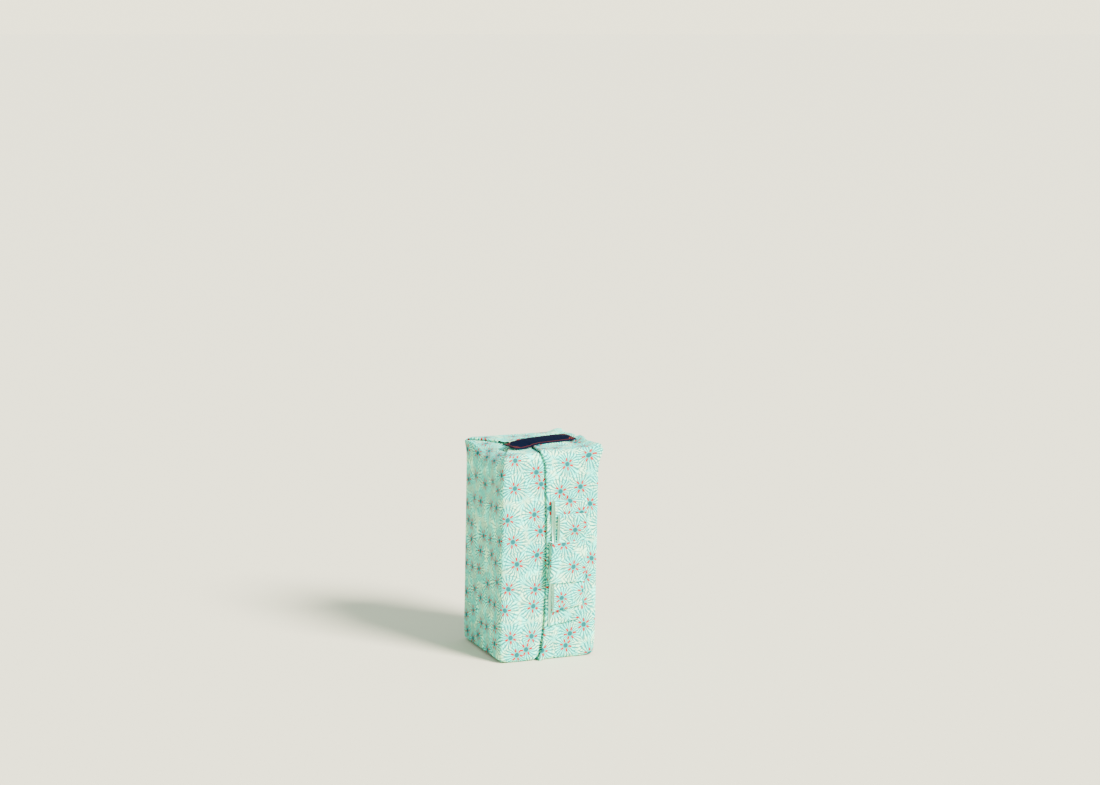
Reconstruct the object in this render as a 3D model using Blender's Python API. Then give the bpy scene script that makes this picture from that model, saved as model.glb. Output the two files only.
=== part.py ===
"""A furoshiki wrap: one cloth folded round a box, with a woven label on top and a flat looped bow.

Metres, +Z up. The origin is on the floor under the middle of the parcel. The front, with the
overlap and the bow, faces -Y. The box inside doesn't show, so the folded cloth is hollow.
"""
import math

import bpy
from mathutils import Vector

# Driving sizes of the parcel
WIDTH = 0.0968
DEPTH = 0.107
TOP_LEVEL = 0.2005  # middle of the outermost flap on the top
LEAN = math.radians(1.2)  # the parcel leans to the right as it goes up

# The cloth: its thickness, and the pitch from one folded layer to the next
CLOTH = 0.0010
PITCH = 0.0013
HALF_X = (WIDTH - CLOTH) / 2
HALF_Y = (DEPTH - CLOTH) / 2
BOTTOM_LEVEL = CLOTH / 2
SIDE_LAYERS = 2  # the side flaps lie under this many layers
TAPER = 0.008  # layers and cloth thin out this near to a folded corner

# The overlap on the front
INNER_END = 0.014  # where the left panel ends, under the right one
HEM = 0.013
PROUD = 1.2  # layers by which the right panel stands out
PROUD_REACH = 0.025  # height over which it comes to stand out, as the base is flush
HEM_SHIFT = 1.15  # the same for the hem and for the left panel that runs under it
LEFT_SHIFT = 1.1
UNDER = {"start": -0.006, "length": 0.005}  # where the left panel goes under, from the free edge

# Flaps at both ends, measured from the edge that they fold over
SIDE_FLAP = 0.030
FRONT_FLAP = {"top": 0.0495, "bottom": 0.056}
BACK_FLAP = {"top": 0.063, "bottom": 0.0485}
# On top the front flaps step up over the back flap's end, which dips under the overlap
RISE = {"start": 0.032, "length": 0.008, "layers": 1.2}
DIP = {"left": -0.017, "right": 0.018, "side": 0.0045, "start": 0.044, "length": 0.006, "layers": 1.25}

# The free edge of the right panel, up the front: height, its x, how far it lifts off
LIFT_REACH = 0.008
EDGE_BELOW = 0.05  # slope of that edge on the base
EDGE_UP_FRONT = (
    {"at": 0.000, "x": -0.0097, "lift": 0.0030},
    {"at": 0.012, "x": -0.0067, "lift": 0.0026},
    {"at": 0.030, "x": -0.0049, "lift": 0.0010},
    {"at": 0.046, "x": -0.0042, "lift": 0.0014},
    {"at": 0.070, "x": -0.0034, "lift": 0.0002},
    {"at": 0.088, "x": -0.0034, "lift": 0.0002},
    {"at": 0.106, "x": -0.0037, "lift": 0.0002},
    {"at": 0.117, "x": -0.0039, "lift": 0.0002},
    {"at": 0.127, "x": -0.0041, "lift": 0.0018},
    {"at": 0.165, "x": -0.0050, "lift": 0.0006},
    {"at": 0.188, "x": -0.0064, "lift": 0.0008},
    {"at": 0.201, "x": -0.0100, "lift": 0.0010},
)
# The same edge along the top, by its distance from the front
EDGE_ON_TOP = (
    {"at": 0.000, "x": -0.0100, "lift": 0.0010},
    {"at": 0.012, "x": -0.0092, "lift": 0.0006},
    {"at": 0.030, "x": -0.0060, "lift": 0.0004},
    {"at": 0.050, "x": -0.0040, "lift": 0.0000},
)

# Fold lines of the ends: how far inward along the panel they run for each step of flap height
FOLDS = {
    "front_left": {"slope": 0.47, "bend": 0.0},
    "back_left": {"slope": 1.0, "bend": 9.2},
    "back_right": {"slope": 1.0, "bend": 0.0},
    "front_right": {"slope": 1.0, "bend": 0.0},
}

# Softness of the shape: round edges, then small moves of the top, each strongest at a place in
# shares of the half sizes, and fading over its reach
ROUND = 0.0050
ROUND_SHARE = 0.90
MOVES = (
    {"x": -1.0, "y": 1.0, "out": (-0.0030, 0.0010, 0.0006), "reach": (0.010, 0.010, 0.010)},
    {"x": 1.0, "y": -1.0, "out": (0.0036, -0.0008, 0.0030), "reach": (0.010, 0.010, 0.010)},
    {"x": 1.0, "y": 1.0, "out": (0.0002, 0.0018, 0.0046), "reach": (0.014, 0.014, 0.014)},
    {"x": 1.0, "y": 0.1, "out": (0.0004, 0.0000, 0.0016), "reach": (0.009, 0.036, 0.014)},
    {"x": -1.0, "y": -0.2, "out": (0.0018, 0.0000, -0.0012), "reach": (0.011, 0.036, 0.011)},
    {"x": 0.2, "y": -1.0, "out": (0.0000, 0.0010, -0.0009), "reach": (0.040, 0.011, 0.011)},
    {"x": -0.8, "y": -0.6, "out": (0.0000, 0.0000, -0.0019), "reach": (0.026, 0.028, 0.030)},
)

# Label: it lies across the seam of the front and back flaps
LABEL = {"length": 0.070, "width": 0.023, "x": 0.0050, "y": -0.0080, "turn": math.radians(11)}
LABEL_THICK = 0.0010
LABEL_LOW = 0.2022  # its middle over the left panel's flap
LABEL_STEP = 0.0017  # it steps up this much onto the right panel, and again over the back flap
STEP_LENGTH = 0.009
LABEL_DIP = 0.0016  # its left end goes down

# Bow: heights up the front; depths out from the right panel's face to the middle of a strip, and
# the left sides of a loop's back and front strip and its right side, in x. The slant lifts the
# right side of a loop's lower end.
STRIP = 0.0010
FACE = -(HALF_Y + PROUD * PITCH + CLOTH / 2)
LONG_LOOP_SLANT = 0.0047
LONG_LOOP = (
    {"at": 0.0350, "back": 0.0022, "front": 0.0036, "back_x": -0.0014, "front_x": -0.0006, "right": 0.0296},
    {"at": 0.0450, "back": 0.0020, "front": 0.0047, "back_x": -0.0018, "front_x": -0.0004, "right": 0.0298},
    {"at": 0.0600, "back": 0.0020, "front": 0.0047, "back_x": -0.0018, "front_x": -0.0001, "right": 0.0302},
    {"at": 0.0760, "back": 0.0025, "front": 0.0043, "back_x": -0.0012, "front_x": 0.0004, "right": 0.0306},
    {"at": 0.1160, "back": 0.0025, "front": 0.0043, "back_x": 0.0004, "front_x": 0.0028, "right": 0.0324},
    {"at": 0.1280, "back": 0.0019, "front": 0.0058, "back_x": 0.0003, "front_x": 0.0022, "right": 0.0327},
    {"at": 0.1420, "back": 0.0016, "front": 0.0076, "back_x": 0.0001, "front_x": 0.0015, "right": 0.0330},
    {"at": 0.1530, "back": 0.0020, "front": 0.0070, "back_x": -0.0001, "front_x": 0.0011, "right": 0.0331},
)
SHORT_LOOP_SLANT = 0.0050
SHORT_LOOP = (
    {"at": 0.0495, "back": 0.0068, "front": 0.0084, "back_x": 0.0003, "front_x": 0.0009, "right": 0.0303},
    {"at": 0.0620, "back": 0.0064, "front": 0.0100, "back_x": 0.0002, "front_x": 0.0010, "right": 0.0305},
    {"at": 0.0760, "back": 0.0059, "front": 0.0077, "back_x": 0.0004, "front_x": 0.0013, "right": 0.0308},
    {"at": 0.1160, "back": 0.0059, "front": 0.0077, "back_x": 0.0046, "front_x": 0.0058, "right": 0.0326},
    {"at": 0.1280, "back": 0.0075, "front": 0.0108, "back_x": 0.0041, "front_x": 0.0051, "right": 0.0322},
    {"at": 0.1410, "back": 0.0094, "front": 0.0118, "back_x": 0.0036, "front_x": 0.0044, "right": 0.0316},
)
BAND = {
    "left": -0.0030, "right": 0.0332, "low": 0.0765, "high": 0.1155, "back": 0.0011, "front": 0.0092,
    "tilt": 0.045,
}
BAND_ROUND = 0.0013
SLANT_REACH = 0.030

CLOTH_COLOUR, CLOTH_ROUGHNESS = (0.55, 0.80, 0.74), 0.85
LABEL_COLOUR, LABEL_ROUGHNESS = (0.01, 0.02, 0.07), 0.7


def smooth(value):
    """A soft step from 0 to 1 as the value goes from 0 to 1."""
    value = min(max(value, 0.0), 1.0)
    return value * value * (3 - 2 * value)


def between(table, at, name):
    """The named column of a table at a place between its rows."""
    if at <= table[0]["at"]:
        return table[0][name]
    for low, high in zip(table, table[1:]):
        if at <= high["at"]:
            share = smooth((at - low["at"]) / (high["at"] - low["at"]))
            return low[name] + (high[name] - low[name]) * share
    return table[-1][name]


def shaped(point):
    """Softens the sharp folded form: round edges, lifted or sunken places on top, a slight lean."""
    x, y, z = point
    middle = (TOP_LEVEL + CLOTH / 2) / 2
    centred = [x, y, z - middle]
    halves = [WIDTH / 2, DEPTH / 2, middle]
    near = [max(0.0, 1 - (half - abs(c)) / ROUND) for c, half in zip(centred, halves)]
    length = math.sqrt(sum(n * n for n in near))
    if length > 0:
        shrink = 1 + ROUND_SHARE * (max(near) / length - 1)
        for axis, (c, half) in enumerate(zip(centred, halves)):
            if near[axis] > 0:
                centred[axis] = math.copysign(half - ROUND * (1 - near[axis] * shrink), c)
    x, y, z = centred[0], centred[1], centred[2] + middle
    moved = Vector((x, y, z))
    for move in MOVES:
        away = (x - move["x"] * WIDTH / 2, y - move["y"] * DEPTH / 2, z - TOP_LEVEL)
        fading = sum((d / reach) ** 2 for d, reach in zip(away, move["reach"]))
        moved += Vector(move["out"]) * math.exp(-fading)
    return moved + Vector((moved.z * math.tan(LEAN), 0, 0))


class Sheet:
    """A sheet as a grid of nodes, each with a place on the sheet's outer and on its inner face."""

    def __init__(self):
        self.index = {}
        self.outer = []
        self.inner = []
        self.faces = []

    def node(self, key, place, half):
        self.index[key] = len(self.outer)
        self.outer.append(shaped(place(half)))
        self.inner.append(shaped(place(-half)))

    def face(self, keys):
        """A face through these nodes. None is a corner's missing node, at its small hole."""
        keys = [key for key in keys if key is not None]
        if any(key not in self.index for key in keys):
            return
        corners = list(dict.fromkeys(self.index[key] for key in keys))
        if len(corners) > 2:
            self.faces.append(corners)

    def mesh(self, name):
        """Both faces of the sheet, joined along each open edge."""
        count = len(self.outer)
        faces = self.faces + [[i + count for i in reversed(face)] for face in self.faces]
        edges = {edge for face in self.faces for edge in zip(face, face[1:] + face[:1])}
        faces += [[b, a, a + count, b + count] for a, b in sorted(edges) if (b, a) not in edges]
        mesh = bpy.data.meshes.new(name)
        mesh.from_pydata(self.outer + self.inner, [], faces)
        mesh.validate()
        return mesh


# The cloth's sections in the order that it goes round the box, starting inside the overlap
SECTIONS = ("front_left", "left", "back", "right", "front_right", "hem")
# Each corner: the panel whose flap stays straight, the one whose flap folds back, which of them
# comes first, and whether the straight flap is the lower (1) or the upper one (-1)
CORNERS = {
    "front_left": {"straight": "left", "folded": "front_left", "first": "folded", "order": 1},
    "back_left": {"straight": "left", "folded": "back", "first": "straight", "order": 1},
    "back_right": {"straight": "back", "folded": "right", "first": "straight", "order": -1},
    "front_right": {"straight": "front_right", "folded": "right", "first": "folded", "order": -1},
}
NEAR_CORNER = (0.0012, 0.0030, 0.0060)
SIDE_STATIONS = (0.016, 0.034, 0.053, 0.072, 0.090)
BACK_STATIONS = (0.015, 0.0304, 0.0375, 0.048, 0.061, 0.067, 0.082)
LEFT_PANEL_X = (
    INNER_END, 0.008, 0.002, -0.004, -0.007, -0.010, -0.013, -0.016, -0.019, -0.026, -0.035,
)
RIGHT_PANEL_X = (0.038, 0.026, 0.016, 0.0085, 0.0030, -0.0005)
HEM_STATIONS = (0.0, 0.006, HEM)
FLAP_STEPS = (0.0012, 0.0030, 0.0060, 0.0120, 0.0200, SIDE_FLAP)
FLAP_ENDS = 3  # rows past the side flaps' length
WALL_HEIGHTS = (0.013, 0.024, 0.038, 0.054, 0.070, 0.086, 0.102, 0.120, 0.140, 0.160, 0.178, 0.188)
WALL_ROWS = 2 + 2 * len(NEAR_CORNER) + len(WALL_HEIGHTS)
# A folded-in layer's columns, by their share of the flap's height at most; None is halfway on
GUSSET_STEPS = (0.0, 0.0025, 0.0055, None, 1.0)
# How far from a corner a fold moves a section's columns; in the others it moves them all
SQUEEZED = {"front_left": 0.0294, "back": 0.0304, "right": 0.045, "left": 0.016}


def fade(distance):
    """0 at the folded corner, 1 from TAPER outward."""
    return min(1.0, distance / TAPER)


def edge_row(end, height):
    """x and lift of the right panel's free edge on a wall or a flap."""
    if end == "wall":
        table = EDGE_UP_FRONT
    elif end == "top":
        table = EDGE_ON_TOP
    else:
        return EDGE_UP_FRONT[0]["x"] + EDGE_BELOW * height, 0.0
    return between(table, height, "x"), between(table, height, "lift")


def layers_over(section, x, end, height):
    """How many layers lie outside this section of the sheet; below 0 it stands proud."""
    if section in ("left", "right"):
        return SIDE_LAYERS if end != "wall" else 0.0
    if section == "back":
        if end != "top":
            return 0.0
        under = smooth((x - DIP["left"]) / DIP["side"]) * smooth((DIP["right"] - x) / DIP["side"])
        return DIP["layers"] * smooth((height - DIP["start"]) / DIP["length"]) * under
    proud = {"top": 1.0, "bottom": 0.0, "wall": smooth(height / PROUD_REACH)}[end]
    rise = 0.0
    if end == "top":
        rise = RISE["layers"] * smooth((height - RISE["start"]) / RISE["length"])
    if section == "front_right":
        return -PROUD * proud - rise
    if section == "hem":
        return 1 - HEM_SHIFT * proud - rise
    under = smooth((x - edge_row(end, height)[0] - UNDER["start"]) / UNDER["length"])
    return (2 - LEFT_SHIFT * proud) * under - rise


def level_of(end, layers):
    """Height of the middle of a flap that lies under so many layers."""
    return TOP_LEVEL - layers * PITCH if end == "top" else BOTTOM_LEVEL + layers * PITCH


def in_plan(section, along, out):
    """A panel's point in plan, from its place along the panel and outward of it."""
    if section == "left":
        return -HALF_X - out, along
    if section == "right":
        return HALF_X + out, along
    if section == "back":
        return along, HALF_Y + out
    return along, -HALF_Y - out


def stations(section):
    """Distances along a section of its columns, from where the section starts."""
    if section == "hem":
        return list(HEM_STATIONS)
    if section == "front_right":
        length = HALF_X - EDGE_UP_FRONT[5]["x"]
        return [0.0, *NEAR_CORNER, *(HALF_X - x for x in RIGHT_PANEL_X), length]
    if section == "front_left":
        length = INNER_END + HALF_X
        found = [INNER_END - x for x in LEFT_PANEL_X]
    elif section == "back":
        length = 2 * HALF_X
        found = [0.0, *NEAR_CORNER, *BACK_STATIONS]
    else:
        length = 2 * HALF_Y
        found = [0.0, *NEAR_CORNER, *SIDE_STATIONS]
    return [*found, *(length - s for s in reversed(NEAR_CORNER)), length]


def corner_at(section, last):
    """The corner at a section's first or last column, or None at a free edge."""
    for name, corner in CORNERS.items():
        for role in ("straight", "folded"):
            if corner[role] == section and (corner["first"] == role) == last:
                return name, role
    return None, None


def fold_inset(corner, role, height):
    """How far a flap's side lies inward of the corner at this height, and the slope of that line."""
    if role == "folded":
        slope, bend = FOLDS[corner]["slope"], FOLDS[corner]["bend"]
        return slope * height - bend * height**2, slope - 2 * bend * height
    if role == "straight" and CORNERS[corner]["order"] > 0:
        return PITCH * fade(height), 0.0
    return 0.0, 0.0


def start_and_length(section, end, height):
    """Where a section starts along its axis, its direction there, and its length."""
    if section == "left":
        return -HALF_Y, 1, 2 * HALF_Y
    if section == "right":
        return HALF_Y, -1, 2 * HALF_Y
    if section == "back":
        return -HALF_X, 1, 2 * HALF_X
    if section == "front_left":
        return INNER_END, -1, INNER_END + HALF_X
    edge = edge_row(end, height)[0]
    if section == "front_right":
        return HALF_X, -1, HALF_X - edge
    return edge, 1, HEM


def rows():
    """All rows of the sheet from the bottom flaps' ends to the top flaps' ends."""
    flap = len(FLAP_STEPS) + FLAP_ENDS
    below = [("bottom", k) for k in range(flap, 0, -1)]
    return below + [("wall", i) for i in range(WALL_ROWS)] + [("top", k) for k in range(1, flap + 1)]


def flap_height(section, end, step):
    """Height of a flap's row past the bend, or None past the flap's end."""
    if step <= len(FLAP_STEPS):
        return FLAP_STEPS[step - 1]
    if section in ("left", "right"):
        return None
    full = BACK_FLAP[end] if section == "back" else FRONT_FLAP[end]
    return SIDE_FLAP + (full - SIDE_FLAP) * (step - len(FLAP_STEPS)) / FLAP_ENDS


def wall_share(step):
    """A wall row's place between the lower bend, 0, and the upper one, 1."""
    span = level_of("top", SIDE_LAYERS) - level_of("bottom", SIDE_LAYERS)
    heights = [0.0, *NEAR_CORNER, *WALL_HEIGHTS, *(span - s for s in reversed(NEAR_CORNER)), span]
    return heights[step] / span


def column_place(section, column, row):
    """The place of a section's node as a function of the distance outward through the cloth."""
    end, step = row
    spots = stations(section)
    nominal = spots[-1]
    height = 0.0 if end == "wall" else flap_height(section, end, step)
    if height is None:
        return None
    turned = -1 if section == "hem" else 1
    corners = (corner_at(section, False), corner_at(section, True))
    if end == "wall":
        share = wall_share(step)
        height = share * TOP_LEVEL
    start, direction, length = start_and_length(section, end, height)
    margins = [0.0, 0.0]
    slopes = [0.0, 0.0]
    for last, (corner, role) in enumerate(corners):
        if end != "wall" and corner:
            margins[last], slopes[last] = fold_inset(corner, role, height)
    along = spots[column] * length / nominal
    moved = SQUEEZED.get(section, length)
    along += margins[0] * max(0.0, 1 - along / moved)
    along -= margins[1] * max(0.0, 1 - (length - along) / moved)
    centre = start + direction * along
    near = min(along if corners[0][0] else length, length - along if corners[1][0] else length)
    x = centre if section not in ("left", "right") else 0.0
    _, lift = edge_row(end, height)
    if section in ("front_right", "hem"):
        off_edge = (x - edge_row(end, height)[0]) / LIFT_REACH
        lift *= (1 - smooth(off_edge)) if off_edge < 1 else 0.0
    else:
        lift = 0.0

    if end == "wall":
        over = {name: layers_over(section, x, name, 0) - SIDE_LAYERS for name in ("bottom", "top")}
        low = level_of("bottom", SIDE_LAYERS + over["bottom"] * fade(near))
        high = level_of("top", SIDE_LAYERS + over["top"] * fade(near))
        z = low + share * (high - low)
        thin = fade(math.hypot(near, min(z - low, high - z)))
        out = -layers_over(section, x, "wall", z) * PITCH + lift
        bend = -1 if step == 0 else 1 if step == WALL_ROWS - 1 else 0

        def place(w):
            w *= thin * turned
            side = centre
            if section == "front_right" and column == len(spots) - 1:
                side = centre - w
            if section == "hem" and column == 0:
                side = centre + w
            return (*in_plan(section, side, out + w), z + bend * w)

        return place

    thin = fade(math.hypot(near, height))
    layers = SIDE_LAYERS + (layers_over(section, x, end, height) - SIDE_LAYERS) * thin
    level = level_of(end, layers)
    out = -layers_over(section, x, "wall", TOP_LEVEL if end == "top" else 0.0) * PITCH
    up = 1 if end == "top" else -1

    def place(w):
        w *= thin * turned
        side, inward = 0.0, 0.0
        for last, (corner, role) in enumerate(corners):
            if corner is None or column != (len(spots) - 1 if last else 0):
                continue
            order = CORNERS[corner]["order"]
            slope = slopes[last]
            if role == "straight":
                shift = order * w
            else:
                shift = -order * w / math.hypot(1, slope)
                inward = order * w * slope / math.hypot(1, slope)
            side = -shift if last else shift
        spot = centre + direction * side
        if section == "front_right" and column == len(spots) - 1:
            spot = centre - w
        if section == "hem" and column == 0:
            spot = centre + w
        return (*in_plan(section, spot, out - height - inward), level + up * (w + lift))

    return place


def gusset_share(step, height):
    """How far across a folded-in layer a column lies, from the straight flap, 0, to the fold, 1."""
    even = step / (len(GUSSET_STEPS) - 1)
    if step in (0, len(GUSSET_STEPS) - 1):
        return even
    if GUSSET_STEPS[step] is None:
        return (1 + gusset_share(step - 1, height)) / 2
    return min(even, GUSSET_STEPS[step] / height)


def gusset_place(corner, step_across, row):
    """A node of the layer folded in between two flaps, as column_place gives one."""
    end, step = row
    if step > len(FLAP_STEPS):
        return None
    height = FLAP_STEPS[step - 1]
    share = gusset_share(step_across, height)
    rule = CORNERS[corner]
    order = rule["order"]
    edge, _ = fold_inset(corner, "straight", height)
    fold, slope = fold_inset(corner, "folded", height)
    proud = PROUD * PITCH if corner == "front_right" and end == "top" else 0.0
    thin = fade(math.hypot(fold * share, height))
    x = HALF_X if "right" in corner else -HALF_X
    straight = layers_over(rule["straight"], x, end, height)
    folded = layers_over(rule["folded"], x, end, height)
    level = level_of(end, SIDE_LAYERS + ((straight + folded) / 2 - SIDE_LAYERS) * thin)
    up = 1 if end == "top" else -1

    def place(w):
        w *= thin
        from_straight = (1 - share) * (height - proud) + share * fold
        from_folded = (1 - share) * edge + share * height
        if share == 0:
            from_folded += order * w
        if share == 1:
            from_straight -= order * w / math.hypot(1, slope)
            from_folded += order * w * slope / math.hypot(1, slope)
        z = level - up * w
        if rule["straight"] == "left":
            y = HALF_Y - from_folded if corner == "back_left" else from_folded - HALF_Y
            return from_straight - HALF_X, y, z
        y = HALF_Y - from_straight if corner == "back_right" else from_straight - HALF_Y
        return HALF_X - from_folded, y, z

    return place


def columns():
    """The sheet's columns in order: each section's own, with each corner's folded-in ones between."""
    found = []
    for section in SECTIONS:
        found += [(section, i) for i in range(len(stations(section)))]
        corner = corner_at(section, True)[0]
        if corner:
            steps = range(len(GUSSET_STEPS))
            if CORNERS[corner]["first"] == "folded":
                steps = reversed(steps)
            found += [("gusset " + corner, step) for step in steps]
    return found


def node_key(column, row):
    """A node's key. On a wall a corner's columns are one node, and at its bends there is none."""
    name, place = column
    corner = None
    if name.startswith("gusset"):
        corner = name.split()[1]
    elif place == 0:
        corner = corner_at(name, False)[0]
    elif place == len(stations(name)) - 1:
        corner = corner_at(name, True)[0]
    if row[0] != "wall" or corner is None:
        return column, row
    return None if row[1] in (0, WALL_ROWS - 1) else (corner, row)


def corner_place(corner, row):
    """A node on the parcel's upright edge."""
    low = level_of("bottom", SIDE_LAYERS)
    high = level_of("top", SIDE_LAYERS)
    z = low + wall_share(row[1]) * (high - low)
    thin = fade(min(z - low, high - z))
    section = "front_right" if corner == "front_right" else "back"
    proud = -layers_over(section, HALF_X, "wall", z) * PITCH
    side = 1 if "right" in corner else -1
    front = 1 if "back" in corner else -1

    def place(w):
        w *= thin
        return side * (HALF_X + w), front * (HALF_Y + proud + w), z

    return place


def wrap_mesh():
    sheet = Sheet()
    order = columns()
    levels = rows()
    for column in order:
        for row in levels:
            key = node_key(column, row)
            if key is None or key in sheet.index:
                continue
            if key[0] in CORNERS:
                place = corner_place(key[0], row)
            elif column[0].startswith("gusset"):
                place = gusset_place(column[0].split()[1], column[1], row)
            else:
                place = column_place(column[0], column[1], row)
            if place is not None:
                sheet.node(key, place, CLOTH / 2)
    for column, following in zip(order, order[1:]):
        for row, above in zip(levels, levels[1:]):
            sheet.face([node_key(*spot) for spot in (
                (column, row), (column, above), (following, above), (following, row))])
    return sheet.mesh("wrap_cloth")


def label_mesh():
    """The woven label, draped over the step between the panels and over the flaps' seam."""
    sheet = Sheet()
    across, along = (-0.5, -0.25, 0.0, 0.25, 0.5), [i / 10 - 0.5 for i in range(11)]
    cos, sin = math.cos(LABEL["turn"]), math.sin(LABEL["turn"])
    for i, u in enumerate(along):
        for j, v in enumerate(across):
            length, width = u * LABEL["length"], v * LABEL["width"]
            x = LABEL["x"] + length * cos - width * sin
            y = LABEL["y"] + length * sin + width * cos
            z = LABEL_LOW + LABEL_STEP * smooth((x + 0.016) / STEP_LENGTH)
            z += LABEL_STEP * smooth((y + 0.026) / STEP_LENGTH)
            z -= LABEL_DIP * smooth((-0.025 - x) / STEP_LENGTH) * smooth((y + 0.015) / STEP_LENGTH)
            sheet.node((i, j), lambda w, at=(x, y, z): (at[0], at[1], at[2] + w), LABEL_THICK / 2)
    for i in range(len(along) - 1):
        for j in range(len(across) - 1):
            sheet.face([(i, j), (i + 1, j), (i + 1, j + 1), (i, j + 1)])
    return sheet.mesh("label")


def ring_mesh(name, path, spans):
    """A closed strip: the path's points and outward directions, each spanned across by some points."""
    half = STRIP / 2
    sheet = Sheet()
    for i, (point, out) in enumerate(path):
        for j, span in enumerate(spans(point)):
            sheet.node((i, j), lambda w, at=span, out=out: tuple(at + out * w), half)
    count, wide = len(path), len(spans(path[0][0]))
    for i in range(count):
        for j in range(wide - 1):
            following = (i + 1) % count
            sheet.face([(i, j), (i, j + 1), (following, j + 1), (following, j)])
    return sheet.mesh(name)


def loop_mesh(name, loop, slant):
    """A flat loop of the bow: up its back, round the top, down its front, round the bottom."""
    heights = [row["at"] for row in loop]
    heights = sorted({*heights, *((low + high) / 2 for low, high in zip(heights, heights[1:]))})
    sides = [(h, between(loop, h, "back"), between(loop, h, "front")) for h in heights]
    outline = [(h, back) for h, back, _ in sides]
    outline += end_arc(sides[-1], 1)
    outline += [(h, front) for h, _, front in reversed(sides)]
    outline += end_arc(sides[0], -1)
    points = [Vector((0, FACE - depth, height)) for height, depth in outline]
    path = []
    for i, point in enumerate(points):
        ahead, behind = points[(i + 1) % len(points)], points[i - 1]
        run = (ahead - behind).normalized()
        path.append((point, Vector((0, run.z, -run.y)) * -1))

    def spans(point):
        back, front = between(loop, point.z, "back"), between(loop, point.z, "front")
        forward = min(max((FACE - point.y - back) / (front - back), 0.0), 1.0)
        back_x = between(loop, point.z, "back_x")
        left = back_x + (between(loop, point.z, "front_x") - back_x) * forward
        wide = between(loop, point.z, "right") - left
        lift = slant * smooth((BAND["low"] - point.z) / SLANT_REACH)
        return [Vector((left + wide * s, point.y, point.z + lift * s)) for s in (0.0, 0.33, 0.67, 1.0)]

    return ring_mesh(name, path, spans)


def end_arc(side, way):
    """The round end of a loop, between its back and its front strip."""
    height, back, front = side
    if way < 0:
        back, front = front, back
    middle, radius = (back + front) / 2, (front - back) / 2
    turns = [math.pi * k / 5 for k in range(1, 5)]
    return [(height + way * abs(radius) * math.sin(t), middle - radius * math.cos(t)) for t in turns]


def band_mesh():
    """The band round the loops' middle, a ring with round corners."""
    low = (BAND["left"] + STRIP / 2, BAND["back"])
    high = (BAND["right"] - STRIP / 2, BAND["front"])
    path = []
    for i, (x, depth) in enumerate(
            ((high[0], low[1]), (high[0], high[1]), (low[0], high[1]), (low[0], low[1]))):
        cx = x - math.copysign(BAND_ROUND, x - (low[0] + high[0]) / 2)
        cd = depth - math.copysign(BAND_ROUND, depth - (low[1] + high[1]) / 2)
        for k in range(5):
            turn = math.pi / 2 * (i - 1 + k / 4)
            out = Vector((math.cos(turn), -math.sin(turn), 0))
            path.append((Vector((cx, FACE - cd, 0)) + out * BAND_ROUND, out))
    tall = BAND["high"] - BAND["low"]

    def spans(point):
        ups = [tall * (k / 4 - 0.5) for k in range(5)]
        return [Vector((point.x + BAND["tilt"] * up, point.y, BAND["low"] + tall / 2 + up)) for up in ups]

    return ring_mesh("bow_band", path, spans)


def add_object(mesh, collection, colour, roughness):
    name = mesh.name
    made = bpy.data.objects.new(name, mesh)
    collection.objects.link(made)
    material = bpy.data.materials.new(name)
    material.use_nodes = True
    shader = material.node_tree.nodes["Principled BSDF"]
    shader.inputs["Base Color"].default_value = (*colour, 1)
    shader.inputs["Roughness"].default_value = roughness
    shader.inputs["Metallic"].default_value = 0
    mesh.materials.append(material)


def main():
    for old in list(bpy.data.objects):
        bpy.data.objects.remove(old)
    collection = bpy.data.collections.new("furoshiki_wrap")
    bpy.context.scene.collection.children.link(collection)
    add_object(label_mesh(), collection, LABEL_COLOUR, LABEL_ROUGHNESS)
    for mesh in (
        wrap_mesh(),
        loop_mesh("bow_long_loop", LONG_LOOP, LONG_LOOP_SLANT),
        loop_mesh("bow_short_loop", SHORT_LOOP, SHORT_LOOP_SLANT),
        band_mesh(),
    ):
        add_object(mesh, collection, CLOTH_COLOUR, CLOTH_ROUGHNESS)


main()
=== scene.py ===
"""Looks of a furoshiki wrap: a printed cloth on its folds, a woven label and a flat looped bow.

Metres, +Z up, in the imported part's frame: the front faces -Y and the base is on the floor.
The print is a generic one of round many-petalled flowers, and the label has no lettering.
"""
import math

import bpy
from mathutils import Matrix, Vector, noise


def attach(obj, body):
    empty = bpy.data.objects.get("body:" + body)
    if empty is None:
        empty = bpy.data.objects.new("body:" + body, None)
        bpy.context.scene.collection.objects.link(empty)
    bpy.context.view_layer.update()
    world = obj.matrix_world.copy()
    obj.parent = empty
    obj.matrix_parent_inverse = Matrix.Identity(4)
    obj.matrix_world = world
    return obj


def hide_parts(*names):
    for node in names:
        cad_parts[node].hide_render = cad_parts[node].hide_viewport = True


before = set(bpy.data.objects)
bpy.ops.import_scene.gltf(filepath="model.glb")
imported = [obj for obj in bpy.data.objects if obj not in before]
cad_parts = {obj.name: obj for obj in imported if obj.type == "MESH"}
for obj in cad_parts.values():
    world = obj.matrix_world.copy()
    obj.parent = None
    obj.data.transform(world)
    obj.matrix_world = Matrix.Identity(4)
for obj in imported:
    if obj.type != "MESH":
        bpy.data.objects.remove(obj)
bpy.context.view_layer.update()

# The parcel, as in the solids
WIDTH, DEPTH = 0.0968, 0.107
TOP_LEVEL = 0.2005  # middle of the outermost flap on the top
LEAN = math.radians(1.2)  # the parcel leans to the right as it goes up

# The solids' cloth: its thickness, and the pitch from one folded layer to the next
CLOTH, PITCH = 0.0010, 0.0013
HALF_X, HALF_Y, BOTTOM_LEVEL = (WIDTH - CLOTH) / 2, (DEPTH - CLOTH) / 2, CLOTH / 2
SIDE_LAYERS = 2  # the side flaps lie under this many layers
TAPER = 0.008  # layers and cloth thin out this near to a folded corner

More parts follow.
